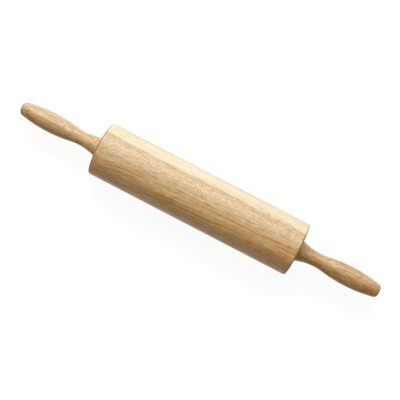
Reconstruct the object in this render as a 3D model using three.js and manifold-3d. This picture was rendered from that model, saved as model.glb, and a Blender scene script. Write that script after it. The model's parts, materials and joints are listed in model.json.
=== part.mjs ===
// Wooden rolling pin with two fixed handles on one steel axle and a barrel that turns on ball bearings.
// Units are millimetres. +X runs along the pin towards the right handle, +Z is up, and the barrel
// rests on the plane Z = 0 with the origin under the middle of the barrel.
import * as THREE from "three";
import { mergeVertices } from "three/addons/utils/BufferGeometryUtils.js";
import Module from "manifold-3d";

// Barrel: a turned wooden roller, bored through and counterbored for a bearing at each end.
const barrelDiameter = 60;
const barrelLength = 235.8;
const rimRounding = 1.9;
const boreDiameter = 16;
const seatLeadIn = 0.5;

// Handle: a turned grip with a flared foot, a slim neck, a full belly and a flat butt.
const handleLength = 95.9;
const neckDiameter = 15.5;
const neckFromFoot = 23.2;
const footFlare = 4.65; // how far the foot stands out past the neck, on the radius
const bellySwell = 3.2; // how far the belly stands out past the neck, on the radius
const bellyFromNeck = 37;
const buttRounding = 3.8;
const footRounding = 0.8;
const runningGap = 0.8; // between a handle's foot and the end of the turning barrel

// Axle: one steel rod through the barrel and deep into both handles.
const axleDiameter = 8;
const axleDepthInHandle = 55;
const axleChamfer = 0.8;
const blindHoleSpare = 1.5; // room past the end of the axle in each handle
const drillPointAngle = 118; // of the cone at the bottom of each blind hole

// Bearing: a shielded deep-groove ball bearing in each end of the barrel.
const bearingOuterDiameter = 22;
const bearingWidth = 7;
const bearingRecess = 0.5; // below the end face of the barrel
const raceWall = 1.4; // metal left between each groove and the ring's other wall
const ballClearance = 0.15;
const grooveDepth = 0.68;
const ballSpacing = 2.5; // least arc between neighbouring balls on the pitch circle
const ringChamfer = 0.4;
const shieldThickness = 0.4;
const shieldSeatDepth = 0.6;
const shieldSeatHeight = 0.8; // step of a shield's seat above the outer ring's land
const shieldGap = 0.3; // between a shield's inner edge and the turning inner ring
const cageGap = 0.35; // between the cage and the lands of the two rings
const cageBack = 0.45; // wall behind the ball pockets
const cageLip = 1.0; // how far the pockets reach past the middle of the balls

// Retaining ring: an E-clip in a groove of the axle, behind each bearing.
const clipOuterDiameter = 14.2;
const clipThickness = 0.9;
const clipGrooveDepth = 0.6;
const clipGrooveSpare = 0.1;
const clipReliefHeight = 1.6; // of the relief pockets between the three prongs
const clipMouthAngle = 70;
const clipProngAngle = 22;

// Insert nut: a barbed brass nut in the foot of each handle, screwed on to the axle.
const insertDiameter = 12;
const insertLength = 13;
const insertHeadDiameter = 14;
const insertHeadThickness = 1.2;
const insertBarbCount = 3;
const insertBarbHeight = 0.5;

// Thrust washer: carries a handle's foot clear of the barrel on the bearing's inner ring.
const washerMargin = 0.3; // how far its rim stays inside the land of the inner ring

const fitGap = 0.1; // left between pieces that seat on each other

// Facets round each turned piece. Even counts leave a flat underneath.
const barrelSides = 48;
const handleSides = 32;
const ringSides = 28;
const smallSides = 20;
const ballSides = 8;

// Facets along each curve of an outline.
const rimSteps = 4;
const neckSteps = 7;
const bellySteps = 9;
const buttSteps = 4;
const grooveSteps = 4;
const clipSteps = 4;

const barrelEnd = barrelLength / 2;
const axisHeight = barrelDiameter / 2;
const axleRadius = axleDiameter / 2;
const seatRadius = bearingOuterDiameter / 2 + fitGap;
const seatDepth = bearingRecess + bearingWidth + fitGap;
const footStation = barrelEnd + runningGap;
const bearingStation = barrelEnd - bearingRecess - bearingWidth / 2;
const axleHalfLength = footStation + axleDepthInHandle;
const clipInnerStation = bearingStation - bearingWidth / 2 - fitGap - clipThickness;

// Bearing section, from the bore outwards.
const ringBore = axleRadius + fitGap;
const ringOuter = bearingOuterDiameter / 2;
const pitchRadius = (ringBore + ringOuter) / 2;
const grooveRadius = (ringOuter - ringBore) / 2 - raceWall;
const ballRadius = grooveRadius - ballClearance;
const landOffset = ballRadius - grooveDepth;
const innerLand = pitchRadius - landOffset;
const outerLand = pitchRadius + landOffset;
const shieldSeatRadius = outerLand + shieldSeatHeight;
const ballCount = Math.floor((2 * Math.PI * pitchRadius) / (2 * ballRadius + ballSpacing));

const oak = { roughness: 0.55, metalness: 0 };
const material = {
  barrelOak: new THREE.MeshStandardMaterial({ color: 0xd9b98a, ...oak }),
  leftHandleOak: new THREE.MeshStandardMaterial({ color: 0xcfa873, ...oak }),
  rightHandleOak: new THREE.MeshStandardMaterial({ color: 0xb98d5a, ...oak }),
  axleSteel: new THREE.MeshStandardMaterial({ color: 0xb9bcc0, roughness: 0.35, metalness: 1 }),
  bearingSteel: new THREE.MeshStandardMaterial({ color: 0xd4d6d9, roughness: 0.18, metalness: 1 }),
  springSteel: new THREE.MeshStandardMaterial({ color: 0x4b4d52, roughness: 0.4, metalness: 1 }),
  insertBrass: new THREE.MeshStandardMaterial({ color: 0xc9a64f, roughness: 0.35, metalness: 1 }),
  cageNylon: new THREE.MeshStandardMaterial({ color: 0xe6dfcf, roughness: 0.6, metalness: 0 }),
};

const degrees = THREE.MathUtils.degToRad;
const wasm = await Module();
wasm.setup();

// Points of a circular arc in the plane of station along the axis and radius from it.
function arc(station, radius, size, from, to, steps) {
  return Array.from({ length: steps + 1 }, (_, i) => {
    const angle = from + ((to - from) * i) / steps;
    return [station + size * Math.cos(angle), radius + size * Math.sin(angle)];
  });
}

const mirrored = (outline) => outline.map(([station, radius]) => [-station, radius]).reverse();
const closed = (outline) => [...outline, outline[0]];

// Revolves an outline of [station, radius] points about the X axis, with a flat facing down.
function turned(outline, sides) {
  const points = outline.map(([station, radius]) => new THREE.Vector2(Math.max(radius, 0), station));
  const geometry = new THREE.LatheGeometry(points, sides, Math.PI / sides);
  return geometry.rotateZ(-Math.PI / 2);
}

// A closed geometry as a solid that can be cut.
function solidOf(geometry) {
  const bare = new THREE.BufferGeometry().setAttribute("position", geometry.getAttribute("position"));
  const merged = mergeVertices(geometry.index ? bare.setIndex(geometry.index) : bare, 1e-3);
  return new wasm.Manifold(
    new wasm.Mesh({
      numProp: 3,
      vertProperties: merged.getAttribute("position").array,
      triVerts: new Uint32Array(merged.index.array),
    }),
  );
}

function geometryOf(solid) {
  const { vertProperties, triVerts } = solid.getMesh();
  return new THREE.BufferGeometry()
    .setAttribute("position", new THREE.BufferAttribute(vertProperties, 3))
    .setIndex(new THREE.BufferAttribute(triVerts, 1));
}

function piece(name, geometry, finish, station = 0) {
  const mesh = new THREE.Mesh(geometry, finish);
  mesh.name = name;
  mesh.position.x = station;
  return mesh;
}

// The barrel's sizes are kept across the flats of its facets, so it stands on one of them at Z = 0.
function barrelGeometry() {
  const rightEnd = [
    ...arc(barrelEnd - rimRounding, barrelDiameter / 2 - rimRounding, rimRounding, Math.PI / 2, 0, rimSteps),
    [barrelEnd, seatRadius + seatLeadIn],
    [barrelEnd - seatLeadIn, seatRadius],
    [barrelEnd - seatDepth, seatRadius],
    [barrelEnd - seatDepth, boreDiameter / 2],
  ];
  const flatShare = Math.cos(Math.PI / barrelSides);
  const acrossFlats = rightEnd.map(([station, radius]) => [station, radius / flatShare]);
  return turned(closed([...mirrored(acrossFlats), ...acrossFlats]), barrelSides);
}

// The grip's outer line from foot to butt: a hollow arc round the neck that runs without a break into
// a long full arc over the belly, with small roundings at the foot and the butt.
function gripLine() {
  const neckRadius = neckDiameter / 2;
  const neckArc = (neckFromFoot ** 2 + footFlare ** 2) / (2 * footFlare);
  const arcSum = (bellyFromNeck ** 2 + bellySwell ** 2) / (2 * bellySwell);
  const bellyArc = arcSum - neckArc;
  const neckCentre = [neckFromFoot, neckRadius + neckArc];
  const bellyCentre = [neckFromFoot + bellyFromNeck, neckRadius + bellySwell - bellyArc];
  const joinAngle = Math.atan2(bellyCentre[1] - neckCentre[1], bellyCentre[0] - neckCentre[0]);

  const footAngle = Math.PI + Math.acos((neckFromFoot - footRounding) / neckArc);
  const hollow = arc(...neckCentre, neckArc, footAngle, 2 * Math.PI + joinAngle, neckSteps);

  // The butt rounding touches the belly arc from inside and the flat end of the handle.
  const roundStation = handleLength - buttRounding;
  const roundRadius =
    bellyCentre[1] + Math.sqrt((bellyArc - buttRounding) ** 2 - (roundStation - bellyCentre[0]) ** 2);
  const touchAngle = Math.atan2(roundRadius - bellyCentre[1], roundStation - bellyCentre[0]);
  const full = arc(...bellyCentre, bellyArc, Math.PI + joinAngle, touchAngle, bellySteps);
  const butt = arc(roundStation, roundRadius, buttRounding, touchAngle, 0, buttSteps);

  const footEdge = [0, hollow[0][1] - footRounding];
  return [footEdge, ...hollow, ...full.slice(1), ...butt.slice(1), [handleLength, 0]];
}

// A handle with its foot at station 0, bored blind for the axle and pocketed for the insert nut.
function handleGeometry() {
  const holeRadius = axleRadius + fitGap;
  const holeDepth = axleDepthInHandle + blindHoleSpare;
  const pocketRadius = insertDiameter / 2 + fitGap;
  const headRadius = insertHeadDiameter / 2 + fitGap;
  const headDepth = insertHeadThickness + fitGap;
  const inside = [
    [holeDepth + holeRadius / Math.tan(degrees(drillPointAngle / 2)), 0],
    [holeDepth, holeRadius],
    [insertLength + fitGap, holeRadius],
    [insertLength + fitGap, pocketRadius],
    [headDepth, pocketRadius],
    [headDepth, headRadius],
    [0, headRadius],
  ];
  return turned([...inside, ...gripLine()], handleSides);
}

function axleGeometry() {
  const grooveRadiusOfAxle = axleRadius - clipGrooveDepth;
  const grooveFrom = clipInnerStation - clipGrooveSpare / 2;
  const grooveTo = clipInnerStation + clipThickness + clipGrooveSpare / 2;
  const rightHalf = [
    [grooveFrom, axleRadius],
    [grooveFrom, grooveRadiusOfAxle],
    [grooveTo, grooveRadiusOfAxle],
    [grooveTo, axleRadius],
    [axleHalfLength - axleChamfer, axleRadius],
    [axleHalfLength, axleRadius - axleChamfer],
    [axleHalfLength, 0],
  ];
  return turned([...mirrored(rightHalf), ...rightHalf], smallSides);
}

// Station where a ring's groove meets a land at the given distance from the pitch circle.
const grooveHalfWidth = Math.sqrt(grooveRadius ** 2 - landOffset ** 2);
const grooveEdgeAngle = Math.atan2(landOffset, grooveHalfWidth);

function outerRingGeometry() {
  const face = bearingWidth / 2;
  const rightFace = [
    [face - ringChamfer, ringOuter],
    [face, ringOuter - ringChamfer],
    [face, shieldSeatRadius],
    [face - shieldSeatDepth, shieldSeatRadius],
    [face - shieldSeatDepth, outerLand],
  ];
  const groove = arc(0, pitchRadius, grooveRadius, grooveEdgeAngle, Math.PI - grooveEdgeAngle, grooveSteps);
  return turned(closed([...mirrored(rightFace), ...rightFace, ...groove]), ringSides);
}

function innerRingGeometry() {
  const face = bearingWidth / 2;
  const groove = arc(0, pitchRadius, grooveRadius, Math.PI + grooveEdgeAngle, 2 * Math.PI - grooveEdgeAngle,
    grooveSteps);
  const rightFace = [
    [face, innerLand],
    [face, ringBore + ringChamfer],
    [face - ringChamfer, ringBore],
  ];
  return turned(closed([...mirrored(rightFace), ...groove, ...rightFace]), ringSides);
}

// A crown cage: a ring with one ball pocket per ball, open on one side so that the balls snap in.
function cageGeometry() {
  const inner = innerLand + cageGap;
  const outer = outerLand - cageGap;
  const pocketRadius = ballRadius + ballClearance;
  const back = -(pocketRadius + cageBack);
  const ring = turned(closed([[back, inner], [back, outer], [cageLip, outer], [cageLip, inner]]), ringSides);
  let cage = solidOf(ring);
  for (const place of ballPlaces()) {
    const pocket = new THREE.SphereGeometry(pocketRadius, ballSides, ballSides - 2);
    cage = cage.subtract(solidOf(pocket.translate(...place)));
  }
  return geometryOf(cage);
}

function ballPlaces() {
  return Array.from({ length: ballCount }, (_, i) => {
    const angle = (2 * Math.PI * i) / ballCount;
    return [0, pitchRadius * Math.sin(angle), pitchRadius * Math.cos(angle)];
  });
}

const disc = (inner, outer, thickness) =>
  closed([[0, inner], [0, outer], [thickness, outer], [thickness, inner]]);

const shieldGeometry = () =>
  turned(disc(innerLand + shieldGap, shieldSeatRadius - fitGap, shieldThickness), ringSides);

const washerThickness = bearingRecess + runningGap - 2 * fitGap;
const washerGeometry = () =>
  turned(disc(axleRadius + fitGap, innerLand - washerMargin, washerThickness), smallSides);

// An E-clip, open at the bottom: an outer arc and three prongs that reach into the axle's groove.
function clipGeometry() {
  const outer = clipOuterDiameter / 2;
  const prong = axleRadius - clipGrooveDepth + fitGap;
  const relief = axleRadius + clipReliefHeight;
  const start = degrees(-90 + clipMouthAngle / 2);
  const end = degrees(270 - clipMouthAngle / 2);
  const half = degrees(clipProngAngle / 2);
  const top = degrees(90);
  const shape = new THREE.Shape();
  shape.absarc(0, 0, outer, start, end, false);
  shape.absarc(0, 0, prong, end, end - 2 * half, true);
  shape.absarc(0, 0, relief, end - 2 * half, top + half, true);
  shape.absarc(0, 0, prong, top + half, top - half, true);
  shape.absarc(0, 0, relief, top - half, start + 2 * half, true);
  shape.absarc(0, 0, prong, start + 2 * half, start, true);
  const sheet = { depth: clipThickness, bevelEnabled: false, curveSegments: clipSteps };
  const clip = new THREE.ExtrudeGeometry(shape, sheet);
  return clip.rotateX(Math.PI / 2).rotateZ(Math.PI / 2);
}

// A brass insert nut with its head at station 0 and saw-tooth barbs that grip the wood.
function insertGeometry() {
  const bore = axleRadius + fitGap;
  const outer = insertDiameter / 2;
  const barbPitch = (insertLength - insertHeadThickness) / insertBarbCount;
  const barbs = Array.from({ length: insertBarbCount }, (_, i) => {
    const from = insertHeadThickness + i * barbPitch;
    return [[from, outer], [from + barbPitch, outer - insertBarbHeight]];
  }).flat();
  return turned(closed([
    [0, bore],
    [0, insertHeadDiameter / 2],
    [insertHeadThickness, insertHeadDiameter / 2],
    ...barbs,
    [insertLength, bore],
  ]), smallSides);
}

// Everything at the right-hand end, in the axle's frame. The left-hand end is the same, turned round.
function pinEnd(side) {
  const finish = material;
  const end = new THREE.Group();
  const shieldStation = bearingWidth / 2 - shieldSeatDepth + fitGap;
  end.add(
    piece(`${side}_handle`, handleGeometry(), finish[`${side}HandleOak`], footStation),
    piece(`${side}_insert_nut`, insertGeometry(), finish.insertBrass, footStation),
    piece(`${side}_thrust_washer`, washerGeometry(), finish.axleSteel, barrelEnd - bearingRecess + fitGap),
    piece(`${side}_retaining_clip`, clipGeometry(), finish.springSteel, clipInnerStation),
  );

  const bearing = new THREE.Group();
  bearing.position.x = bearingStation;
  const part = (name, ...rest) => piece(`${side}_bearing_${name}`, ...rest);
  const inboardShield = part("inboard_shield", shieldGeometry(), finish.axleSteel, -shieldStation);
  inboardShield.rotation.z = Math.PI;
  bearing.add(
    part("outer_ring", outerRingGeometry(), finish.bearingSteel),
    part("inner_ring", innerRingGeometry(), finish.bearingSteel),
    part("cage", cageGeometry(), finish.cageNylon),
    part("outboard_shield", shieldGeometry(), finish.axleSteel, shieldStation),
    inboardShield,
  );
  ballPlaces().forEach((place, i) => {
    const sphere = new THREE.SphereGeometry(ballRadius, ballSides, ballSides - 2);
    const ball = part(`ball_${i + 1}`, sphere, finish.bearingSteel);
    ball.position.set(...place);
    bearing.add(ball);
  });
  end.add(bearing);
  return end;
}

const rollingPin = new THREE.Group();
const axis = new THREE.Group();
axis.position.z = axisHeight;
const leftEnd = pinEnd("left");
leftEnd.rotation.z = Math.PI;
axis.add(
  piece("barrel", barrelGeometry(), material.barrelOak),
  piece("axle_rod", axleGeometry(), material.axleSteel),
  leftEnd,
  pinEnd("right"),
);
rollingPin.add(axis);

export default rollingPin;
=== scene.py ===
import json
import math

import bmesh
import bpy
import numpy as np
from mathutils import Matrix, Vector


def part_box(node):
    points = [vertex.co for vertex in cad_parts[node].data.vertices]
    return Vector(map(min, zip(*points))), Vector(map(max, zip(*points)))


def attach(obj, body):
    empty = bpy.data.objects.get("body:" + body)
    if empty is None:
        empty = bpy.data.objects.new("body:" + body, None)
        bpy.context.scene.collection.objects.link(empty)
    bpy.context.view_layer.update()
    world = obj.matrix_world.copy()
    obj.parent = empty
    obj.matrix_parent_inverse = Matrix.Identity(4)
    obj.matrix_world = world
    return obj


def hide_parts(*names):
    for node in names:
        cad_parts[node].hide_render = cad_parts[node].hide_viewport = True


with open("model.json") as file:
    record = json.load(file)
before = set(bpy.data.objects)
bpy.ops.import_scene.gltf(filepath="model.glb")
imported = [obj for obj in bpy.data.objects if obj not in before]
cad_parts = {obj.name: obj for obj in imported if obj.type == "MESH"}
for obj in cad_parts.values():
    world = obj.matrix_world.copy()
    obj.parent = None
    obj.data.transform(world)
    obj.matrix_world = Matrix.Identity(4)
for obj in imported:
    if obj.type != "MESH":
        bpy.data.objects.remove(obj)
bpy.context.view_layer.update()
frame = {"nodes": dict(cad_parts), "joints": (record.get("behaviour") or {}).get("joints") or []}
mm = 0.001
axisHeight = frame["joints"][0]["pos_m"][2]  # of the line that the barrel turns about, above the worktop
sharpDeg = 32  # edges that turn by more than this stay crisp
mergeGap = 1e-7  # points closer than this become one
print("frame loaded:", len(frame["nodes"]), "nodes")


# mesh helpers

def stations(node):
    # where a node of the frame starts and ends along the pin's axis, to the micrometre
    return [round(corner.x, 6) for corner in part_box(node)]


def arcPoints(centre, radius, startDeg, endDeg, count):
    # a circular arc in the plane of station along the axis and distance from it
    a = np.radians(np.linspace(startDeg, endDeg, count))
    return np.stack([centre[0] + radius * np.cos(a), centre[1] + radius * np.sin(a)], 1)


def levelPoints(station, radius):
    # points at one distance from the axis
    return np.stack([station, np.full_like(station, radius)], 1)


def onSide(side, points):
    # a profile made for the right-hand end, or its mirror image at the left-hand end
    return points * (-1, 1) if side == "left" else points


def profileNormals(points, closed):
    # each point's normal is its tangent turned a quarter turn, the tangent being the chord of its neighbours
    if closed:
        tangent = np.roll(points, -1, 0) - np.roll(points, 1, 0)
    else:
        tangent = np.gradient(points, axis=0)
    length = np.linalg.norm(tangent, axis=1, keepdims=True)
    return np.stack([-tangent[:, 1], tangent[:, 0]], 1) / length


def gridQuads(rings, size, closed):
    # quads between neighbouring rings of points: every ring meets itself, and closed joins last to first
    i = np.arange(rings if closed else rings - 1)[:, None]
    j = np.arange(size)[None, :]
    nextI = (i + 1) % rings
    nextJ = (j + 1) % size
    corners = [i * size + j, i * size + nextJ, nextI * size + nextJ, nextI * size + j]
    return np.stack(corners, 2).reshape(-1, 4)


def outwardQuads(points, quads):
    # the quads are turned round where the volume that they enclose, a sum of a . (b x c), is negative
    a, b, c, d = ((points - points.mean(0))[quads[:, k]] for k in range(4))
    volume = np.einsum("ij,ij->", a, np.cross(b, c)) + np.einsum("ij,ij->", a, np.cross(c, d))
    return quads[:, ::-1] if volume < 0 else quads


def newMesh(name, points, faces):
    mesh = bpy.data.meshes.new(name)
    mesh.from_pydata(points.tolist(), [], faces)
    return mesh


def joinPoles(mesh):
    # the first and last rings lie on the axis, so each becomes one vertex
    work = bmesh.new()
    work.from_mesh(mesh)
    bmesh.ops.remove_doubles(work, verts=work.verts, dist=mergeGap)
    work.to_mesh(mesh)
    work.free()


def smooth(mesh):
    mesh.shade_smooth()
    mesh.set_sharp_from_angle(angle=math.radians(sharpDeg))
    mesh.update()


def turnedMesh(name, profile, steps, closed, radiusAt=None):
    # the profile (station, radius) is carried a full turn round the X axis: y = r sin a, z = r cos a;
    # radiusAt, where given, changes r by station and angle, as a screw thread does
    angle = np.linspace(0, 2 * np.pi, steps, endpoint=False)
    station, radius = (np.repeat(profile[:, k:k + 1], steps, 1) for k in (0, 1))
    if radiusAt is not None:
        radius = radiusAt(station, radius, angle)
    rings = np.stack([station, radius * np.sin(angle), radius * np.cos(angle) + axisHeight], 2)
    points = rings.reshape(-1, 3)
    quads = outwardQuads(points, gridQuads(len(profile), steps, closed))
    mesh = newMesh(name, points, quads.tolist())
    axial = np.abs(profileNormals(profile, closed)[:, 0])
    endGrain = mesh.attributes.new("endGrain", "FLOAT", "POINT")  # one where the face looks along the axis
    endGrain.data.foreach_set("value", np.repeat(axial, steps).astype(np.float32))
    if not closed:
        joinPoles(mesh)
    smooth(mesh)
    return mesh


def sideLoops(side, station, radius, turn):
    # points at a station, radius and turn; the left-hand end is the right-hand one turned half round upright
    facing = 1 if side == "right" else -1
    across = radius * np.sin(turn) * facing
    return np.stack([station * facing, across, radius * np.cos(turn) + axisHeight], 2)


def loopMesh(name, loops, capped):
    # loops[i, j] is point j of section i; sections join in turn, and close on the first or end in flat caps
    count, size = loops.shape[:2]
    quads = gridQuads(count, size, not capped).tolist()
    caps = [list(range(size)), list(range((count - 1) * size, count * size))] if capped else []
    mesh = newMesh(name, loops.reshape(-1, 3), quads + caps)
    work = bmesh.new()
    work.from_mesh(mesh)
    bmesh.ops.recalc_face_normals(work, faces=work.faces)
    work.to_mesh(mesh)
    work.free()
    smooth(mesh)
    return mesh


def addPiece(mesh, material, body, node):
    piece = bpy.data.objects.new(mesh.name, mesh)
    bpy.context.scene.collection.objects.link(piece)
    piece.data.materials.append(material)
    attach(piece, body)
    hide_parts(node)


# node helpers

def newMaterial(name):
    made = bpy.data.materials.new(name)
    made.use_nodes = True
    tree = made.node_tree
    return made, tree, tree.nodes["Principled BSDF"]


def setInputs(tree, node, inputs):
    # an input takes a link from another node's socket, or a plain value
    for key, value in inputs.items():
        if isinstance(value, bpy.types.NodeSocket):
            tree.links.new(value, node.inputs[key])
        else:
            node.inputs[key].default_value = value


def addNode(tree, kind, inputs=None, **settings):
    made = tree.nodes.new(kind)
    for key, value in settings.items():
        setattr(made, key, value)
    setInputs(tree, made, inputs or {})
    return made


def calc(tree, operation, *values):
    return addNode(tree, "ShaderNodeMath", dict(enumerate(values)), operation=operation).outputs[0]


def vectorCalc(tree, operation, *values):
    return addNode(tree, "ShaderNodeVectorMath", dict(enumerate(values)), operation=operation).outputs[0]


def remap(tree, value, fromLow, fromHigh, toLow=0.0, toHigh=1.0):
    inputs = {"Value": value, "From Min": fromLow, "From Max": fromHigh, "To Min": toLow, "To Max": toHigh}
    return addNode(tree, "ShaderNodeMapRange", inputs, interpolation_type="SMOOTHSTEP").outputs[0]


def rgba(colour):
    # a plain colour gets its alpha, and a socket stays as it is
    return colour if isinstance(colour, bpy.types.NodeSocket) else (*colour, 1)


def blendColour(tree, factor, first, second, mode="MIX"):
    # a Mix node's two colours are its inputs 6 and 7, and the blended one is its output 2
    inputs = {0: factor, 6: rgba(first), 7: rgba(second)}
    return addNode(tree, "ShaderNodeMix", inputs, data_type="RGBA", blend_type=mode).outputs[2]


def objectPosition(tree):
    return addNode(tree, "ShaderNodeTexCoord").outputs["Object"]


def fromAxis(tree):
    # object coordinates moved so that the pin's axis runs through nought
    return vectorCalc(tree, "SUBTRACT", objectPosition(tree), (0, 0, axisHeight))


def split(tree, vector):
    return addNode(tree, "ShaderNodeSeparateXYZ", {0: vector}).outputs


def windRound(tree, position, turnPerMetre):
    # the position is turned about the pin's axis by its station times the turn per metre
    angle = calc(tree, "MULTIPLY", split(tree, position)[0], turnPerMetre)
    inputs = {"Vector": position, "Angle": angle}
    return addNode(tree, "ShaderNodeVectorRotate", inputs, rotation_type="X_AXIS").outputs[0]


def bump(tree, height, strength, distance):
    inputs = {"Height": height, "Strength": strength, "Distance": distance}
    return addNode(tree, "ShaderNodeBump", inputs).outputs[0]


# oak

oak = {  # what every piece of oak shares
    "noiseRoughness": 0.55, "seedSkew": 1.7, "streakSeedStep": 7, "bandRange": (0.36, 0.64),
    "warmRange": (0.35, 0.7), "lateFromTo": (0.2, 0.85), "yearEndFromTo": (1.0, 0.9),
    "flatFromTo": (0.8, 1.0), "poreDulling": 0.15, "endDulling": 0.12, "bump": 0.35, "bumpDepth": 0.05 * mm,
}
oakLayers = {  # how far each layer's noise lies from the piece's seed, and its detail
    "sway": (0, 2.0), "band": (3, 2.0), "streaks": (5, 1.0), "warmBand": (17, 1.0), "feather": (21, 2.0),
    "flame": (23, 2.0), "paleBand": (29, 1.0), "paleStreaks": (33, 1.0), "wander": (41, 1.0),
}


def grainNoise(tree, position, size, detail, seed):
    # noise drawn out along the grain: size is its length along the grain and its width across it
    along, across = size
    scaled = vectorCalc(tree, "MULTIPLY", position, (1 / along, 1 / across, 1 / across))
    moved = vectorCalc(tree, "ADD", scaled, (seed, seed * oak["seedSkew"], -seed))
    inputs = {"Vector": moved, "Scale": 1.0, "Detail": detail, "Roughness": oak["noiseRoughness"]}
    return addNode(tree, "ShaderNodeTexNoise", inputs).outputs["Fac"]


def layerNoise(tree, position, look, layer):
    # the noise of one layer of the wood, at the size that the piece's look gives it
    step, detail = oakLayers[layer]
    return grainNoise(tree, position, look[layer], detail, look["seed"] + step)


def swing(tree, noise, reach):
    # noise moved to lie evenly about nought, times its reach
    return calc(tree, "MULTIPLY", calc(tree, "SUBTRACT", noise, 0.5), reach)


def pithDistance(tree, centred, look):
    # distance from the pith, a line that runs almost along the piece, off to one side of it
    parts = split(tree, vectorCalc(tree, "SUBTRACT", centred, (0, *look["pith"])))
    tilted = calc(tree, "ADD", parts[1], calc(tree, "MULTIPLY", parts[0], look["pithTilt"]))
    squares = calc(tree, "ADD", calc(tree, "POWER", tilted, 2.0), calc(tree, "POWER", parts[2], 2.0))
    return calc(tree, "SQRT", squares)


def wanderingGrain(tree, straight, deepAndShaded, look):
    # fibres wander a little from the straight line, by another reach far into the heartwood, on the side
    # that is also painted darker as shade
    reach = remap(tree, deepAndShaded, 0, 1, *look["wanderDepth"])
    drift = swing(tree, layerNoise(tree, straight, look, "wander"), reach)
    aside = addNode(tree, "ShaderNodeCombineXYZ", {1: drift}).outputs[0]
    return vectorCalc(tree, "ADD", straight, aside)


def lateWood(tree, straight, fromPith, look):
    # growth rings: distance from the pith bent by slow noise, pale at first and dark late in each year
    bend = swing(tree, layerNoise(tree, straight, look, "sway"), look["swayDepth"])
    year = calc(tree, "FRACT", calc(tree, "DIVIDE", calc(tree, "ADD", fromPith, bend), look["ringWidth"]))
    darkening = remap(tree, year, *oak["lateFromTo"])
    return calc(tree, "MULTIPLY", darkening, remap(tree, year, *oak["yearEndFromTo"]))


def heartwood(tree, grain, deepAndShaded, late, look):
    # slow bands between two tones, young ones outside and older, browner ones inside towards the pith, which
    # also paint shade on the side away from the key lamp, then warm clouds and rings
    bands = remap(tree, layerNoise(tree, grain, look, "band"), *oak["bandRange"])
    young = blendColour(tree, bands, *look["young"])
    colour = blendColour(tree, deepAndShaded, young, blendColour(tree, bands, *look["oldAndShaded"]))
    warmth = remap(tree, layerNoise(tree, grain, look, "warmBand"), *oak["warmRange"])
    colour = blendColour(tree, calc(tree, "MULTIPLY", warmth, look["warmDepth"]), colour, look["warm"])
    return blendColour(tree, calc(tree, "MULTIPLY", late, look["ringDepth"]), colour, look["late"])


def layStreaks(tree, grain, colour, look, layer, lined):
    # streaks drawn out along the grain, laid over each other: each multiplies the colour by its tint,
    # with one depth near the sapwood and another near the pith, and adds its relief to the height;
    # a flank, the parabola 4r(1 - r) of the noise's rise r to the streak, lightens the wood beside it
    step, detail = oakLayers[layer]
    height = 0.0
    for number, streak in enumerate(look[layer]):
        flanked = "flank" in streak
        seed = look["seed"] + step + number * oak["streakSeedStep"]
        noise = grainNoise(tree, grain, streak["size"], 0.0 if flanked else detail, seed)
        depth = remap(tree, lined, 0.0, 1.0, *streak["depth"])
        mask = calc(tree, "MULTIPLY", remap(tree, noise, *streak["range"]), depth)
        if flanked:
            rise = remap(tree, noise, *streak["flankRange"])
            fall = calc(tree, "SUBTRACT", 4.0, calc(tree, "MULTIPLY", rise, 4.0))
            beside = calc(tree, "MULTIPLY", calc(tree, "MULTIPLY", rise, fall), depth)
            colour = blendColour(tree, beside, colour, streak["flank"], "MULTIPLY")
        colour = blendColour(tree, mask, colour, streak["tint"], "MULTIPLY")
        height = calc(tree, "ADD", height, calc(tree, "MULTIPLY", mask, streak["relief"]))
    return colour, height


def sapwood(tree, centred, grain, fromPith, heart, sap):
    # sapwood lies beyond a radius from the pith: streaks feather its edge, and slanted flames of heartwood
    # reach into it; it is tanner near its edges and has painted highlights beside the flames, and a faint
    # line lies inside it
    colour, height = heart
    parts = split(tree, centred)
    above = parts[2]
    feathered = swing(tree, layerNoise(tree, grain, sap, "feather"), sap["featherDepth"])
    flames = layerNoise(tree, windRound(tree, centred, sap["flameTwist"]), sap, "flame")
    reach = remap(tree, parts[0], *sap["flameFromTo"], *sap["flameDepth"])
    dips = calc(tree, "MINIMUM", calc(tree, "SUBTRACT", flames, 0.5), 0.0)
    ragged = calc(tree, "ADD", feathered, calc(tree, "MULTIPLY", dips, reach))
    edge = calc(tree, "SUBTRACT", calc(tree, "ADD", fromPith, ragged), sap["radius"])
    mask = remap(tree, edge, -sap["soft"], sap["soft"])
    mask = calc(tree, "MULTIPLY", mask, remap(tree, above, *sap["farEdge"]))

    slow = remap(tree, layerNoise(tree, grain, sap, "paleBand"), *oak["bandRange"])
    pale = blendColour(tree, slow, *sap["pale"])
    pale, paleHeight = layStreaks(tree, grain, pale, sap, "paleStreaks", 0.0)
    pale = blendColour(tree, remap(tree, edge, *sap["tanFromTo"]), pale, sap["tan"], "MULTIPLY")
    pale = blendColour(tree, remap(tree, above, *sap["farTanFromTo"]), pale, sap["farTan"], "MULTIPLY")
    # painted highlights: the sapwood is lightened in glints beside the flames near its edge
    nearEdge = remap(tree, edge, *sap["glintFromTo"])
    lit = calc(tree, "MULTIPLY", remap(tree, flames, *sap["glintRange"]), nearEdge)
    pale = blendColour(tree, lit, pale, sap["paintedGlint"], "MULTIPLY")

    colour = blendColour(tree, remap(tree, edge, *sap["lineFromTo"]), colour, sap["line"], "MULTIPLY")
    colour = blendColour(tree, mask, colour, pale)
    return colour, remap(tree, mask, 0.0, 1.0, height, paleHeight)


def oiledEnds(tree, colour, late, look):
    # end grain drinks more oil, so it is darker, most of all on the rounded edge; its flat shows the rings
    endGrain = addNode(tree, "ShaderNodeAttribute", attribute_name="endGrain").outputs["Fac"]
    share = remap(tree, endGrain, *look["endFromTo"])
    flat = remap(tree, endGrain, *oak["flatFromTo"])
    rings = calc(tree, "MULTIPLY", calc(tree, "MULTIPLY", late, look["endRings"]), flat)
    colour = blendColour(tree, rings, colour, look["late"])
    oiled = calc(tree, "SUBTRACT", share, calc(tree, "MULTIPLY", flat, look["endFlat"]))
    return blendColour(tree, oiled, colour, look["end"], "MULTIPLY"), share


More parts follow.
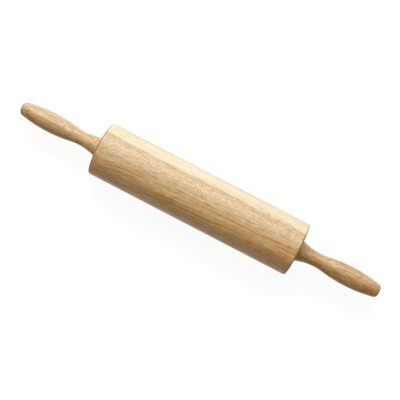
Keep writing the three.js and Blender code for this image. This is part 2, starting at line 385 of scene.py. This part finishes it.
def oakMaterial(name, look):
    made, tree, shader = newMaterial(name)
    centred = fromAxis(tree)
    straight = windRound(tree, centred, look["twist"])  # the grain winds slowly round the axis
    fromPith = pithDistance(tree, centred, look)
    lean = calc(tree, "MULTIPLY", split(tree, centred)[0], look["deepLean"])
    leaning = calc(tree, "ADD", fromPith, lean)
    deepAndShaded = remap(tree, leaning, *look["deepShadeFromTo"])  # heartwood grows browner towards the pith, which lies on the side away from the key lamp, so this is also painted shade
    grain = wanderingGrain(tree, straight, deepAndShaded, look)
    late = lateWood(tree, straight, fromPith, look)
    colour = heartwood(tree, grain, deepAndShaded, late, look)
    lined = remap(tree, leaning, *look["linedFromTo"])
    colour, height = layStreaks(tree, grain, colour, look, "streaks", lined)
    if "sap" in look:
        colour, height = sapwood(tree, centred, grain, fromPith, (colour, height), look["sap"])
    colour, endShare = oiledEnds(tree, colour, late, look)

    rough = calc(tree, "SUBTRACT", look["roughness"], calc(tree, "MULTIPLY", height, oak["poreDulling"]))
    rough = calc(tree, "ADD", rough, calc(tree, "MULTIPLY", endShare, oak["endDulling"]))
    setInputs(tree, shader, {
        "Base Color": colour, "Roughness": rough, "Specular IOR Level": look["specular"],
        "Normal": bump(tree, height, oak["bump"], oak["bumpDepth"]),
        "Coat Weight": look["coat"], "Coat Roughness": look["coatRoughness"]})
    return made


# barrel

barrel = {  # it lies on the worktop, so its radius is the height of its axis
    "radius": axisHeight, "half": stations("barrel")[1], "rim": 1.9 * mm,
    "bore": 8 * mm, "seat": 11.1 * mm, "seatDepth": 7.6 * mm, "leadIn": 0.5 * mm,
    "steps": 192, "sideRows": 40, "rimRows": 13, "faceRows": 8,
}
# lengths in metres; a streak's two depths are its strength near the sapwood and near the pith
barrelOak = {
    # the pith lies on the side away from the key lamp, so the browner tones near it are partly heartwood and
    # partly painted shade
    "seed": 2.0, "twist": 1.6, "pith": (-0.066, -0.012), "pithTilt": 0.0,
    "deepShadeFromTo": (0.088, 0.062), "deepLean": -0.03, "linedFromTo": (0.088, 0.072),
    "wander": (0.03, 0.008), "wanderDepth": (0.0010, 0.0004),
    "ringWidth": 0.0023, "sway": (0.060, 0.008), "swayDepth": 0.004, "ringDepth": 0.13,
    "band": (0.12, 0.0034), "young": ((0.81, 0.618, 0.375), (0.79, 0.593, 0.348)),
    "oldAndShaded": ((0.86, 0.532, 0.207), (0.85, 0.517, 0.192)), "late": (0.60, 0.34, 0.125),
    "warmBand": (0.16, 0.02), "warm": (0.84, 0.59, 0.33), "warmDepth": 0.15,
    "streaks": (
        {"size": (0.060, 0.0009), "range": (0.53, 0.60), "depth": (0.22, 0.95), "relief": -0.5,
         "tint": (0.795, 0.625, 0.425), "flankRange": (0.41, 0.55), "flank": (1.065, 1.14, 1.25)},
        {"size": (0.0028, 0.0007), "range": (0.54, 0.60), "depth": (0.56, 0.32), "relief": -1.0,
         "tint": (0.79, 0.555, 0.345), "flankRange": (0.42, 0.56), "flank": (1.05, 1.125, 1.23)},
        {"size": (0.0080, 0.0008), "range": (0.56, 0.62), "depth": (0.45, 0.55), "relief": -1.0,
         "tint": (0.75, 0.535, 0.32), "flankRange": (0.44, 0.58), "flank": (1.05, 1.125, 1.23)},
    ),
    "sap": {
        "seed": 2.0, "radius": 0.0914, "soft": 0.0004, "farEdge": (-0.014, -0.004),
        "feather": (0.025, 0.0010), "featherDepth": 0.0022, "flame": (0.012, 0.0014),
        "flameDepth": (0.004, 0.012), "flameFromTo": (-0.03, 0.05), "flameTwist": -9.0,
        "paleBand": (0.08, 0.003), "pale": ((0.97, 0.88, 0.68), (0.95, 0.845, 0.63)),
        "tan": (0.965, 0.925, 0.86), "tanFromTo": (0.0030, 0.0),
        "farTan": (0.915, 0.835, 0.76), "farTanFromTo": (0.016, 0.005),
        # painted highlights beside the flames, and where they lie
        "paintedGlint": (1.04, 1.08, 1.16), "glintRange": (0.52, 0.62), "glintFromTo": (0.0018, 0.0),
        "line": (0.995, 0.99, 0.98), "lineFromTo": (-0.0012, -0.0002),
        "paleStreaks": (
            {"size": (0.006, 0.0008), "range": (0.46, 0.62), "depth": (0.7, 0.7), "relief": -0.2,
             "tint": (0.935, 0.865, 0.74)},
            {"size": (0.040, 0.0011), "range": (0.46, 0.60), "depth": (0.8, 0.8), "relief": -0.2,
             "tint": (0.945, 0.88, 0.76)},
            {"size": (0.060, 0.0011), "range": (0.56, 0.66), "depth": (0.7, 0.7), "relief": 0.1,
             "tint": (1.03, 1.07, 1.15)},
        ),
    },
    "end": (0.64, 0.475, 0.26), "endFlat": 0.55, "endRings": 0.5, "endFromTo": (0.05, 0.45),
    "roughness": 0.45, "specular": 0.5, "coat": 0.2, "coatRoughness": 0.3,
}


def barrelProfile(s):
    # side, rim rounding, end face, bearing seat and bore of the right half, then the same for the left half
    tip, side = s["half"], s["radius"]
    rimAt, rimUp = tip - s["rim"], side - s["rim"]
    seatAt = tip - s["seatDepth"]
    right = np.concatenate([
        np.linspace((0, side), (rimAt, side), s["sideRows"])[:-1],
        arcPoints((rimAt, rimUp), s["rim"], 90, 0, s["rimRows"]),
        np.linspace((tip, rimUp), (tip, s["seat"] + s["leadIn"]), s["faceRows"])[1:],
        [(tip - s["leadIn"], s["seat"]), (seatAt, s["seat"]), (seatAt, s["bore"]), (0, s["bore"])],
    ])
    left = right[1:-1][::-1] * (-1, 1)
    return np.concatenate([right, left])


barrelMesh = turnedMesh("barrelOakRoller", barrelProfile(barrel), barrel["steps"], True)
addPiece(barrelMesh, oakMaterial("barrelOak", barrelOak), "barrel_assembly", "barrel")
print("barrel made:", len(barrelMesh.polygons), "faces")


# handles

handleFoot, handleButt = stations("right_handle")
handle = {
    "length": handleButt - handleFoot, "neck": 7.75 * mm, "neckAt": 23.2 * mm, "flare": 4.65 * mm,
    "swell": 3.2 * mm, "bellyFromNeck": 37 * mm, "buttRound": 3.8 * mm, "footRound": 0.8 * mm,
    "hole": 4.1 * mm, "holeDepth": 56.5 * mm, "pocket": 6.1 * mm, "pocketDepth": 13.1 * mm,
    "head": 7.1 * mm, "headDepth": 1.3 * mm, "drillPointDeg": 118, "steps": 128,
    "footFaceRows": 6, "footRows": 7, "hollowRows": 40, "bellyRows": 56, "buttRows": 14, "buttFaceRows": 8,
}
handleOak = {
    # in both grips the pith lies on the side away from the key lamp, so the browner tones near it are partly
    # heartwood and partly painted shade
    "left": {
        "seed": 31.0, "twist": 0.6, "pith": (-0.0455, -0.005), "pithTilt": 0.03,
        "deepShadeFromTo": (0.0450, 0.0400), "deepLean": 0.0, "linedFromTo": (0.0450, 0.0400),
        "wander": (0.04, 0.008), "wanderDepth": (0.0006, 0.0006),
        "ringWidth": 0.0034, "sway": (0.09, 0.012), "swayDepth": 0.003, "ringDepth": 0.15,
        "band": (0.09, 0.0035), "young": ((0.81, 0.665, 0.425), (0.76, 0.593, 0.358)),
        "oldAndShaded": ((0.61, 0.35, 0.094), (0.56, 0.31, 0.075)), "late": (0.52, 0.28, 0.08),
        "warmBand": (0.16, 0.02), "warm": (0.78, 0.52, 0.26), "warmDepth": 0.5,
        "streaks": (
            {"size": (0.100, 0.0010), "range": (0.53, 0.60), "depth": (0.85, 0.95), "relief": -0.5,
             "tint": (0.80, 0.64, 0.43), "flankRange": (0.41, 0.55), "flank": (1.05, 1.13, 1.26)},
            {"size": (0.060, 0.0012), "range": (0.54, 0.63), "depth": (0.7, 0.6), "relief": 0.3,
             "tint": (1.04, 1.14, 1.29)},
            {"size": (0.010, 0.0008), "range": (0.58, 0.66), "depth": (0.6, 0.6), "relief": -1.0,
             "tint": (0.72, 0.56, 0.38)},
        ),
        "end": (0.65, 0.56, 0.44), "endFlat": 0.3, "endRings": 0.5, "endFromTo": (0.45, 0.85),
        "roughness": 0.45, "specular": 0.5, "coat": 0.15, "coatRoughness": 0.25,
    },
    "right": {
        "seed": 57.0, "twist": -1.0, "pith": (-0.0455, -0.005), "pithTilt": -0.03,
        "deepShadeFromTo": (0.0480, 0.0395), "deepLean": 0.0, "linedFromTo": (0.0480, 0.0395),
        "wander": (0.015, 0.005), "wanderDepth": (0.002, 0.002),
        "ringWidth": 0.0036, "sway": (0.03, 0.008), "swayDepth": 0.006, "ringDepth": 0.18,
        "band": (0.06, 0.0032), "young": ((0.79, 0.565, 0.325), (0.73, 0.50, 0.268)),
        "oldAndShaded": ((0.64, 0.355, 0.115), (0.59, 0.316, 0.091)), "late": (0.48, 0.235, 0.07),
        "warmBand": (0.16, 0.02), "warm": (0.64, 0.37, 0.17), "warmDepth": 0.5,
        "streaks": (
            {"size": (0.070, 0.0010), "range": (0.53, 0.60), "depth": (0.8, 0.9), "relief": -0.5,
             "tint": (0.79, 0.62, 0.43), "flankRange": (0.41, 0.55), "flank": (1.06, 1.13, 1.24)},
            {"size": (0.040, 0.0012), "range": (0.54, 0.63), "depth": (0.6, 0.5), "relief": 0.3,
             "tint": (1.07, 1.14, 1.23)},
            {"size": (0.008, 0.0009), "range": (0.55, 0.63), "depth": (0.8, 0.8), "relief": -1.0,
             "tint": (0.69, 0.49, 0.31)},
        ),
        "end": (0.65, 0.56, 0.44), "endFlat": 0.3, "endRings": 0.5, "endFromTo": (0.45, 0.85),
        "roughness": 0.46, "specular": 0.5, "coat": 0.15, "coatRoughness": 0.3,
    },
}


def gripLine(s):
    # a hollow neck arc runs into a full belly arc at the point where the line of their centres cuts both;
    # a small round leads into the hollow at the foot, and another leads from the belly to the flat butt
    neckArc = (s["neckAt"] ** 2 + s["flare"] ** 2) / (2 * s["flare"])
    arcSum = (s["bellyFromNeck"] ** 2 + s["swell"] ** 2) / (2 * s["swell"])
    bellyArc = arcSum - neckArc
    neckX, neckY = s["neckAt"], s["neck"] + neckArc
    bellyX, bellyY = s["neckAt"] + s["bellyFromNeck"], s["neck"] + s["swell"] - bellyArc
    join = math.degrees(math.atan2(bellyY - neckY, bellyX - neckX))
    footDeg = 180 + math.degrees(math.acos((s["neckAt"] - s["footRound"]) / neckArc))
    hollow = arcPoints((neckX, neckY), neckArc, footDeg, 360 + join, s["hollowRows"])
    roundAt = s["length"] - s["buttRound"]
    roundUp = bellyY + math.sqrt((bellyArc - s["buttRound"]) ** 2 - (roundAt - bellyX) ** 2)
    touch = math.degrees(math.atan2(roundUp - bellyY, roundAt - bellyX))
    belly = arcPoints((bellyX, bellyY), bellyArc, 180 + join, touch, s["bellyRows"])
    butt = arcPoints((roundAt, roundUp), s["buttRound"], touch, 0, s["buttRows"])
    footCentre = (s["footRound"], hollow[0, 1] - s["footRound"])
    foot = arcPoints(footCentre, s["footRound"], 180, 90, s["footRows"])
    buttFace = np.linspace((s["length"], roundUp), (s["length"], 0), s["buttFaceRows"])
    return np.concatenate([foot, hollow[1:], belly[1:], butt[1:], buttFace[1:]])


def handleProfile(s):
    # blind axle hole with a drill point, insert pocket, foot face, then the grip line out to the butt
    point = s["holeDepth"] + s["hole"] / math.tan(math.radians(s["drillPointDeg"] / 2))
    inside = np.array([
        (point, 0), (s["holeDepth"], s["hole"]), (s["pocketDepth"], s["hole"]),
        (s["pocketDepth"], s["pocket"]), (s["headDepth"], s["pocket"]), (s["headDepth"], s["head"]),
        (0, s["head"])])
    grip = gripLine(s)
    footFace = np.linspace((0, s["head"]), grip[0], s["footFaceRows"])[1:-1]
    return np.concatenate([inside, footFace, grip]) + (handleFoot, 0)


for side in ("left", "right"):
    gripMesh = turnedMesh(f"{side}OakGrip", onSide(side, handleProfile(handle)), handle["steps"], False)
    gripOak = oakMaterial(f"{side}GripOak", handleOak[side])
    addPiece(gripMesh, gripOak, "grip_assembly", f"{side}_handle")
print("handles made")


# bearings

bearingFrom, bearingTo = stations("right_bearing_outer_ring")
bearingMiddle = (bearingFrom + bearingTo) / 2
bearing = {
    "half": bearingTo - bearingMiddle, "bore": 4.1 * mm, "outer": 11 * mm, "corner": 0.4 * mm,
    "pitch": 7.55 * mm, "groove": 2.05 * mm, "land": 1.22 * mm, "seat": 9.57 * mm, "seatDepth": 0.6 * mm,
    "steps": 96, "cornerRows": 5, "grooveRows": 25,
    "balls": 7, "ball": 1.9 * mm, "ballRows": 18, "ballSteps": 32,
}
shield = {
    "inner": 6.63 * mm, "outer": 9.47 * mm, "from": 3.0 * mm, "sheet": 0.4 * mm, "press": 0.15 * mm,
    "pressFrom": 0.15, "pressTo": 0.8, "pressRamp": 0.12, "rows": 24,
}
cage = {
    "inner": 6.68 * mm, "outer": 8.42 * mm, "back": 2.5 * mm, "lip": 0.8 * mm, "pocket": 2.06 * mm,
    "backReach": 0.49, "rows": 33,
}


def cornerPoints(corner, before, after):
    # a broken edge: the quadratic curve from a point before the corner to a point after it
    corner, before, after = (np.array(v, float) for v in (corner, before, after))
    towards = [v - corner for v in (before, after)]
    start, end = (corner + v / np.linalg.norm(v) * bearing["corner"] for v in towards)
    t = np.linspace(0, 1, bearing["cornerRows"])[:, None]
    return (1 - t) ** 2 * start + 2 * t * (1 - t) * corner + t ** 2 * end


def outerRingProfile(s):
    # outside wall, broken corners, shield seats and the ball groove, which is an arc round the ball's centre
    edge = math.degrees(math.asin(s["land"] / s["groove"]))
    inside = s["half"] - s["seatDepth"]
    right = np.concatenate([
        cornerPoints((s["half"], s["outer"]), (0, s["outer"]), (s["half"], s["seat"])),
        [(s["half"], s["seat"]), (inside, s["seat"]), (inside, s["pitch"] + s["land"])]])
    groove = arcPoints((0, s["pitch"]), s["groove"], edge, 180 - edge, s["grooveRows"])
    return np.concatenate([right[::-1] * (-1, 1), right, groove]) + (bearingMiddle, 0)


def innerRingProfile(s):
    # ball groove and lands outside, broken corners at the bore
    edge = math.degrees(math.asin(s["land"] / s["groove"]))
    land = (s["half"], s["pitch"] - s["land"])
    right = np.concatenate([[land], cornerPoints((s["half"], s["bore"]), land, (0, s["bore"]))])
    groove = arcPoints((0, s["pitch"]), s["groove"], 180 + edge, 360 - edge, s["grooveRows"])
    return np.concatenate([right[::-1] * (-1, 1), groove, right]) + (bearingMiddle, 0)


def shieldProfile(s, outward):
    # sheet pressed in between its two rims: the depth is a flat-topped bump over the radius
    radius = np.linspace(s["inner"], s["outer"], s["rows"])
    share = np.linspace(0, 1, s["rows"])
    fromRim = np.minimum(share - s["pressFrom"], s["pressTo"] - share)
    step = s["press"] * np.clip(fromRim / s["pressRamp"], 0, 1)
    back = np.stack([s["from"] - step, radius], 1)
    return np.concatenate([back + (s["sheet"], 0), back[::-1]]) * (outward, 1) + (bearingMiddle, 0)


def cageMesh(name, s, side):
    # a crown: the back edge is a plain circle, and the front edge follows most of a circle round each ball
    opening = math.asin(s["lip"] / s["pocket"])
    arc = np.linspace(np.pi - opening, 2 * np.pi + opening, s["rows"])
    gap = 2 * np.pi / bearing["balls"]
    place = np.arange(bearing["balls"])[:, None] * gap
    frontTurn = (place + s["pocket"] * np.cos(arc) / bearing["pitch"]).ravel()
    backTurn = (place + np.linspace(-s["backReach"], s["backReach"], s["rows"]) * gap).ravel()
    front = np.tile(s["pocket"] * np.sin(arc), bearing["balls"])
    back = np.full_like(front, -s["back"])
    station = np.stack([back, back, front, front], 1) + bearingMiddle
    radius = np.array([s["inner"], s["outer"], s["outer"], s["inner"]])[None, :]
    turn = np.stack([backTurn, backTurn, frontTurn, frontTurn], 1)
    return loopMesh(name, sideLoops(side, station, radius, turn), False)


def ballCentres(s, side):
    # evenly spaced round the pitch circle, the first one at the top
    turn = 2 * np.pi * np.arange(s["balls"])[:, None] / s["balls"]
    return sideLoops(side, np.full_like(turn, bearingMiddle), s["pitch"], turn)[:, 0]


def ballMesh(name, s, centre):
    # a half circle carried round the X axis through the ball's own centre
    arc = np.linspace(0, np.pi, s["ballRows"])[:, None]
    turn = np.linspace(0, 2 * np.pi, s["ballSteps"], endpoint=False)[None, :]
    along = s["ball"] * np.cos(arc) + 0 * turn
    across = s["ball"] * np.sin(arc)
    rings = np.stack([along, across * np.sin(turn), across * np.cos(turn)], 2) + centre
    points = rings.reshape(-1, 3)
    quads = outwardQuads(points, gridQuads(s["ballRows"], s["ballSteps"], False))
    mesh = newMesh(name, points, quads.tolist())
    joinPoles(mesh)
    smooth(mesh)
    return mesh


# retaining clips and thrust washers

clipFrom, clipTo = stations("right_retaining_clip")
clip = {
    "outer": 7.1 * mm, "prong": 3.5 * mm, "relief": 5.6 * mm,
    "mouthDeg": 70, "prongDeg": 22, "flankDeg": 2.5, "edge": 0.12 * mm, "steps": 220,
}


def clipMesh(name, s, side):
    # an open ring: its inner radius drops from the relief to the axle's groove at its middle and its tips
    half = 180 - s["mouthDeg"] / 2
    turn = np.linspace(-half, half, s["steps"])
    fromProng = np.minimum(np.abs(turn) - s["prongDeg"] / 2, half - s["prongDeg"] - np.abs(turn))
    share = np.clip(fromProng / s["flankDeg"] + 0.5, 0, 1)
    inner = s["prong"] + (s["relief"] - s["prong"]) * share ** 2 * (3 - 2 * share)
    outer, edge = np.full_like(inner, s["outer"]), s["edge"]
    inEdge, outEdge = inner + edge, outer - edge
    radius = np.stack([inner, inEdge, outEdge, outer, outer, outEdge, inEdge, inner], 1)
    near, far = clipFrom, clipTo
    station = np.array([near + edge, near, near, near + edge, far - edge, far, far, far - edge])
    station = np.broadcast_to(station, radius.shape)
    return loopMesh(name, sideLoops(side, station, radius, np.radians(turn)[:, None]), True)


washer = {"bore": 4.1 * mm, "outer": 6.03 * mm, "edge": 0.15 * mm}


def washerProfile(s):
    # a rectangle with all four corners broken, between the bearing's inner ring and the insert nut
    near, far = stations("right_thrust_washer")
    bore, outer, edge = s["bore"], s["outer"], s["edge"]
    return np.array([
        (near, bore + edge), (near, outer - edge), (near + edge, outer), (far - edge, outer),
        (far, outer - edge), (far, bore + edge), (far - edge, bore), (near + edge, bore)])


# axle and insert nuts

axle = {
    "tip": stations("axle_rod")[1], "radius": 4 * mm, "chamfer": 0.8 * mm, "steps": 48,
    "grooveRadius": 3.4 * mm, "grooveRoom": 0.05 * mm,
    "threadFrom": 119 * mm, "threadTo": 172.5 * mm, "pitch": 1.25 * mm, "threadDepth": 0.55 * mm,
    "toothSlope": 1.5, "toothShift": 0.25, "rowsPerTurn": 8,
}
insertFrom, insertTo = stations("right_insert_nut")
insert = {
    "length": insertTo - insertFrom, "bore": 4.1 * mm, "outer": 6 * mm, "leadIn": 0.4 * mm,
    "edge": 0.15 * mm, "head": 7 * mm, "headThickness": 1.2 * mm,
    "barbs": 3, "barbHeight": 0.5 * mm, "barbShare": 0.999,
}


def threadRows(start, end):
    # where the mesh rows lie along a thread, the same places on the axle and in the nuts
    step = axle["pitch"] / axle["rowsPerTurn"]
    return np.arange(math.ceil(start / step), math.floor(end / step) + 1) * step


def threadCut(station, angle):
    # a trapezoid wave of station over pitch plus turns round the axis, run out to nothing at both ends
    s = axle
    wave = np.abs(2 * np.mod(station / s["pitch"] + angle / (2 * np.pi), 1) - 1)
    tooth = np.clip(s["toothSlope"] * wave - s["toothShift"], 0, 1)
    reach = np.abs(station)
    start = np.clip((reach - s["threadFrom"]) / s["pitch"], 0, 1)
    end = np.clip((s["threadTo"] - reach) / s["pitch"], 0, 1)
    return s["threadDepth"] * tooth * start * end


def axleMesh(name, s):
    # a chamfered rod with a groove for each clip and a thread cut into each end
    tip, side, groove = s["tip"], s["radius"], s["grooveRadius"]
    near, far = clipFrom - s["grooveRoom"], clipTo + s["grooveRoom"]
    right = np.concatenate([
        [(0, side), (near, side), (near, groove), (far, groove), (far, side)],
        levelPoints(threadRows(s["threadFrom"], s["threadTo"]), side),
        [(tip - s["chamfer"], side), (tip, side - s["chamfer"]), (tip, 0)],
    ])
    whole = np.concatenate([right[1:][::-1] * (-1, 1), right])

    def threaded(station, radius, angle):
        return np.where(radius < side, radius, radius - threadCut(station, angle))
    return turnedMesh(name, whole, s["steps"], False, threaded)


def insertMesh(name, s, side):
    # a flange head, saw-tooth barbs behind it, and a bore that follows the axle's thread at a small gap
    bore, head, thickness, edge = s["bore"], s["head"], s["headThickness"], s["edge"]
    barbPitch = (s["length"] - thickness) / s["barbs"]
    barbs = [(thickness + (i + share) * barbPitch, s["outer"] - share * s["barbHeight"])
             for i in range(s["barbs"]) for share in (0, s["barbShare"])]
    outside = np.array([
        (0, bore + s["leadIn"]), (0, head - edge), (edge, head), (thickness - edge, head),
        (thickness, head - edge), *barbs, (s["length"], bore)]) + (insertFrom, 0)
    rows = threadRows(insertFrom + s["leadIn"], insertTo)[::-1]
    profile = onSide(side, np.concatenate([outside, levelPoints(rows, bore)]))

    def threaded(station, radius, angle):
        return np.where(radius > bore, radius, radius - threadCut(station, angle))
    return turnedMesh(name, profile, axle["steps"], True, threaded)


# finishes of the hardware

metal = {  # what all the metals share
    "marksScale": 9000, "marksDetail": 3.0, "bumpDepth": 0.02 * mm,
    "cloudDetail": 2.0, "cloudRange": (0.35, 0.7),
}
metals = {
    "axleSteel": {
        "slot": "axle_steel", "light": (0.62, 0.63, 0.65), "dark": (0.52, 0.53, 0.55),
        "roughness": 0.18, "marks": 0.16, "clouds": 90},
    "plateSteel": {
        "slot": "plate_steel", "light": (0.58, 0.59, 0.60), "dark": (0.47, 0.48, 0.49),
        "roughness": 0.28, "marks": 0.12, "clouds": 250},
    "bearingSteel": {
        "slot": "bearing_steel", "light": (0.72, 0.73, 0.75), "dark": (0.65, 0.66, 0.68),
        "roughness": 0.08, "marks": 0.07, "clouds": 200},
    "springSteel": {
        "slot": "spring_steel", "light": (0.17, 0.17, 0.185), "dark": (0.11, 0.11, 0.12),
        "roughness": 0.35, "marks": 0.1, "clouds": 300},
    "insertBrass": {
        "slot": "insert_brass", "light": (0.74, 0.55, 0.22), "dark": (0.62, 0.43, 0.15),
        "roughness": 0.18, "marks": 0.14, "clouds": 160},
}
nylon = {
    "slot": "cage_nylon", "light": (0.82, 0.76, 0.62), "dark": (0.74, 0.68, 0.54), "clouds": 300,
    "grain": 6000, "grainRange": (0.3, 0.7), "roughness": (0.42, 0.6), "bump": 0.2, "bumpDepth": 0.03 * mm,
    "detail": 2.0, "subsurface": 0.1,
}


def plainNoise(tree, position, scale, detail):
    inputs = {"Vector": position, "Scale": scale, "Detail": detail}
    return addNode(tree, "ShaderNodeTexNoise", inputs).outputs["Fac"]


def metalMaterial(name, look):
    # turned and ground metal: noise drawn out round the axis marks its roughness and height, clouds tint it
    made, tree, shader = newMaterial(name)
    parts = split(tree, fromAxis(tree))
    squares = [calc(tree, "MULTIPLY", parts[k], parts[k]) for k in (1, 2)]
    radius = calc(tree, "SQRT", calc(tree, "ADD", *squares))
    section = addNode(tree, "ShaderNodeCombineXYZ", {0: parts[0], 1: radius}).outputs[0]
    marks = plainNoise(tree, section, metal["marksScale"], metal["marksDetail"])
    clouds = plainNoise(tree, objectPosition(tree), look["clouds"], metal["cloudDetail"])
    worn = calc(tree, "MULTIPLY", calc(tree, "ADD", marks, clouds), look["marks"])
    tint = remap(tree, clouds, *metal["cloudRange"])
    setInputs(tree, shader, {
        "Base Color": blendColour(tree, tint, look["light"], look["dark"]),
        "Roughness": calc(tree, "ADD", look["roughness"], worn), "Metallic": 1.0,
        "Normal": bump(tree, marks, look["marks"], metal["bumpDepth"])})
    return made


def nylonMaterial(name, look):
    # moulded nylon: a cloudy tint, and a fine grain in roughness and height
    made, tree, shader = newMaterial(name)
    position = objectPosition(tree)
    clouds = plainNoise(tree, position, look["clouds"], look["detail"])
    grain = plainNoise(tree, position, look["grain"], look["detail"])
    setInputs(tree, shader, {
        "Base Color": blendColour(tree, clouds, look["light"], look["dark"]),
        "Roughness": remap(tree, grain, *look["grainRange"], *look["roughness"]),
        "Normal": bump(tree, grain, look["bump"], look["bumpDepth"]),
        "Subsurface Weight": look["subsurface"]})
    return made


finishes = {name: (metalMaterial(name, look), look["slot"]) for name, look in metals.items()}
finishes["cageNylon"] = (nylonMaterial("cageNylon", nylon), nylon["slot"])


# hardware put together

def addHardware(mesh, finish, body, node):
    material, slot = finishes[finish]
    addPiece(mesh, material, body, node)


turnedPieces = (  # name, profile, finish, body, node
    ("ThrustWasher", washerProfile(washer), "plateSteel", "grip_assembly", "thrust_washer"),
    ("InnerRing", innerRingProfile(bearing), "bearingSteel", "grip_assembly", "bearing_inner_ring"),
    ("OuterRing", outerRingProfile(bearing), "bearingSteel", "barrel_assembly", "bearing_outer_ring"),
    ("OutboardShield", shieldProfile(shield, 1), "plateSteel", "barrel_assembly", "bearing_outboard_shield"),
    ("InboardShield", shieldProfile(shield, -1), "plateSteel", "barrel_assembly", "bearing_inboard_shield"),
)
addHardware(axleMesh("axleRod", axle), "axleSteel", "grip_assembly", "axle_rod")
for side in ("left", "right"):
    nutMesh = insertMesh(f"{side}InsertNut", insert, side)
    addHardware(nutMesh, "insertBrass", "grip_assembly", f"{side}_insert_nut")
    openRing = clipMesh(f"{side}RetainingClip", clip, side)
    addHardware(openRing, "springSteel", "grip_assembly", f"{side}_retaining_clip")
    for name, profile, finish, body, node in turnedPieces:
        turned = turnedMesh(side + name, onSide(side, profile), bearing["steps"], True)
        addHardware(turned, finish, body, f"{side}_{node}")
    ballSet = f"{side}_ball_set"
    addHardware(cageMesh(f"{side}CrownCage", cage, side), "cageNylon", ballSet, f"{side}_bearing_cage")
    for number, centre in enumerate(ballCentres(bearing, side), 1):
        ball = ballMesh(f"{side}Ball{number}", bearing, centre)
        addHardware(ball, "bearingSteel", ballSet, f"{side}_bearing_ball_{number}")
print("hardware made")


# stage, camera and lamps

stage = {
    "floor": 6.0, "white": 0.86, "roughness": 0.9, "specular": 0.1,
    "seenWhite": 0.10, "glow": 0.94, "sky": 0.02,
}


def grey(level):
    return (level, level, level, 1)


def floorMaterial():
    # rays that light the pin meet white paper; the eye and polished metal see mostly plain white,
    # with enough of the lit paper in it to keep a soft shadow
    made, tree, shader = newMaterial("paperFloor")
    setInputs(tree, shader, {
        "Base Color": grey(stage["white"]), "Roughness": stage["roughness"],
        "Specular IOR Level": stage["specular"]})
    path = addNode(tree, "ShaderNodeLightPath").outputs
    mirrored = calc(tree, "MAXIMUM", path["Is Glossy Ray"], path["Is Transmission Ray"])
    seen = calc(tree, "MAXIMUM", path["Is Camera Ray"], mirrored)
    glow = addNode(tree, "ShaderNodeEmission", {"Color": grey(1), "Strength": stage["glow"]})
    paper = addNode(tree, "ShaderNodeBsdfDiffuse", {"Color": grey(stage["seenWhite"])})
    plain = addNode(tree, "ShaderNodeAddShader", {0: glow.outputs[0], 1: paper.outputs[0]})
    mixed = addNode(tree, "ShaderNodeMixShader", {0: seen, 1: shader.outputs[0], 2: plain.outputs[0]})
    setInputs(tree, tree.nodes["Material Output"], {"Surface": mixed.outputs[0]})
    return made


def addFloor():
    corners = np.array([(-1, -1, 0), (1, -1, 0), (1, 1, 0), (-1, 1, 0)]) * stage["floor"] / 2
    mesh = newMesh("floor", corners, [(0, 1, 2, 3)])
    mesh.materials.append(floorMaterial())
    floor = bpy.data.objects.new("floor", mesh)
    bpy.context.scene.collection.objects.link(floor)


def addSky():
    # white to the eye, and a faint light on the pin
    world = bpy.data.worlds.new("studioSky")
    world.use_nodes = True
    tree = world.node_tree
    path = addNode(tree, "ShaderNodeLightPath").outputs
    seen = calc(tree, "MAXIMUM", path["Is Camera Ray"], path["Is Transmission Ray"])
    strength = addNode(tree, "ShaderNodeMapRange", {"Value": seen, "To Min": stage["sky"], "To Max": 1.0})
    setInputs(tree, tree.nodes["Background"], {"Color": grey(1), "Strength": strength.outputs[0]})
    bpy.context.scene.world = world


view = {
    "distance": 0.875, "lens": 73.6, "sensor": 36, "yawDeg": 2.35, "rollDeg": 27.38,
    "centrePixel": (198.75, 198.85), "imageSize": 400,
}


def cameraAxes():
    # back points from the pin to the camera; alongPin and acrossPin lie in the picture plane
    yaw = math.radians(view["yawDeg"])
    roll = math.radians(view["rollDeg"])
    back = Vector((math.sin(yaw), 0, math.cos(yaw)))
    alongPin = (Vector((1, 0, 0)) - back * back.x).normalized()
    acrossPin = back.cross(alongPin)
    right = alongPin * math.cos(roll) + acrossPin * math.sin(roll)
    up = acrossPin * math.cos(roll) - alongPin * math.sin(roll)
    return right, up, back


def addCamera():
    right, up, back = cameraAxes()
    data = bpy.data.cameras.new("camera")
    data.sensor_width = view["sensor"]
    data.lens = view["lens"]
    camera = bpy.data.objects.new("camera", data)
    bpy.context.scene.collection.objects.link(camera)
    pictureWidth = view["distance"] * data.sensor_width / data.lens  # at the pin, in metres
    pixel = pictureWidth / view["imageSize"]
    middle = view["imageSize"] / 2
    centreX, centreY = view["centrePixel"]
    offset = right * (middle - centreX) * pixel - up * (middle - centreY) * pixel
    place = Vector((0, 0, axisHeight)) + back * view["distance"] + offset
    turn = Matrix((right, up, back)).transposed().to_4x4()
    camera.matrix_world = Matrix.Translation(place) @ turn
    bpy.context.scene.camera = camera


# softboxes: tilt is measured from straight above the pin towards the top of the picture
lamps = {
    "key": {"tiltDeg": 41, "swingDeg": 3, "distance": 2.0, "size": (2.0, 1.0), "power": 43},
    "fill": {"tiltDeg": -30, "swingDeg": 0, "distance": 2.0, "size": (2.0, 0.8), "power": 5.0},
}


def addLamps():
    right, up, back = cameraAxes()
    target = Vector((0, 0, axisHeight))
    for name, lamp in lamps.items():
        data = bpy.data.lights.new(name, "AREA")
        data.shape = "RECTANGLE"
        data.size, data.size_y = lamp["size"]
        data.energy = lamp["power"]
        tilt = math.radians(lamp["tiltDeg"])
        swingAngle = math.radians(lamp["swingDeg"])
        level = up * math.cos(swingAngle) + right * math.sin(swingAngle)
        towards = back * math.cos(tilt) + level * math.sin(tilt)
        across = level.cross(back).normalized()
        turn = Matrix((across, towards.cross(across), towards)).transposed().to_4x4()
        softbox = bpy.data.objects.new(name, data)
        softbox.matrix_world = Matrix.Translation(target + towards * lamp["distance"]) @ turn
        bpy.context.scene.collection.objects.link(softbox)


addFloor()
addSky()
addCamera()
addLamps()
bpy.context.scene.view_settings.view_transform = "Standard"
print("stage set")
